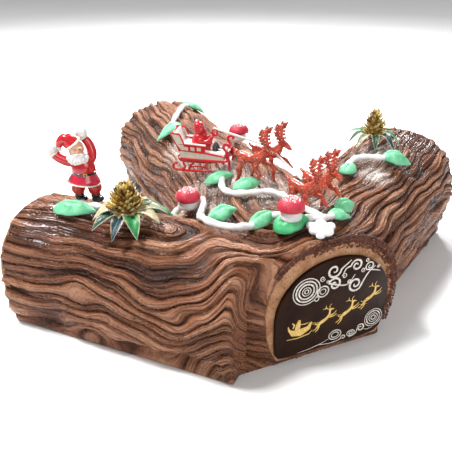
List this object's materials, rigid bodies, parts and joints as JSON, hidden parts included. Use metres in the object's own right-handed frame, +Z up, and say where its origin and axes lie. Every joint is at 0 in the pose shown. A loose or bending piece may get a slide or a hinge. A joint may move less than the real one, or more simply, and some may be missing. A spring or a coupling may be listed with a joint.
{
  "type": "yule log cake",
  "caption": "Chocolate log cake of rolls pushed together under ridged bark icing, with an iced plaque on the cut end, piped leaves and strings, sugar mushrooms and plastic Christmas figures.",
  "frame": {"origin": "on the underside, under the trunk's centre line, 120 mm behind the cut front face, where the three rolls meet", "axes": "+Z up; the cut front face with the plaque looks towards -Y and a little +X; the trunk runs back from it towards +Y and -X"},
  "size_m": [0.3538, 0.3665, 0.1356],
  "materials": {
    "bark_icing": "ridged milk-chocolate ganache icing, satin, with glossier dark patches",
    "sponge": "dark crumbly chocolate sponge, matt",
    "mousse": "smooth tan chocolate mousse, matt, brown specks",
    "dark_chocolate": "dark chocolate plaque, satin, printed in gold and cream",
    "mint_icing": "piped mint green buttercream, soft satin",
    "green_icing": "piped darker green icing, soft satin",
    "white_icing": "piped white icing, satin",
    "red_sugar": "red meringue with sugar crystals",
    "red_plastic": "glossy red moulded plastic with painted trim",
    "deer_plastic": "glossy orange-red moulded plastic",
    "white_plastic": "off-white moulded plastic",
    "gold_foil": "gold metallised plastic",
    "leaf_fabric": "printed satin leaves, green with cream-gold edges"
  },
  "bodies": {
    "root": {"trunk_icing": "bark_icing", "trunk_sponge": "sponge", "trunk_mousse": "mousse", "left_limb_icing": "bark_icing", "left_limb_sponge": "sponge", "left_limb_mousse": "mousse", "right_limb_icing": "bark_icing", "right_limb_sponge": "sponge", "right_limb_mousse": "mousse", "plaque": "dark_chocolate", "icing_leaf_1": "mint_icing", "icing_leaf_2": "mint_icing", "icing_leaf_3": "mint_icing", "icing_leaf_4": "mint_icing", "icing_leaf_5": "mint_icing", "icing_leaf_6": "mint_icing", "icing_leaf_7": "mint_icing", "icing_leaf_8": "mint_icing", "icing_leaf_9": "mint_icing", "icing_leaf_10": "mint_icing", "icing_leaf_11": "mint_icing", "icing_leaf_12": "mint_icing", "icing_string_1": "white_icing", "icing_string_2": "white_icing", "icing_string_3": "white_icing", "icing_string_4": "white_icing", "icing_string_5": "white_icing", "icing_string_6": "white_icing", "icing_string_7": "white_icing", "icing_dollop": "white_icing", "mushroom_base_leaf": "green_icing", "mushroom_1_stem": "white_icing", "mushroom_1_cap": "red_sugar", "mushroom_2_stem": "white_icing", "mushroom_2_cap": "red_sugar", "mushroom_3_stem": "white_icing", "mushroom_3_cap": "red_sugar", "pick_front_leaves": "leaf_fabric", "pick_front_cone": "gold_foil", "pick_back_leaves": "leaf_fabric", "pick_back_cone": "gold_foil", "santa_figure": "red_plastic", "sleigh": "red_plastic", "sleigh_driver": "red_plastic", "reindeer_1": "deer_plastic", "reindeer_2": "deer_plastic", "reindeer_3": "deer_plastic", "reindeer_4": "deer_plastic", "harness_bar_1": "white_plastic", "harness_bar_2": "white_plastic"}
  },
  "joints": []
}
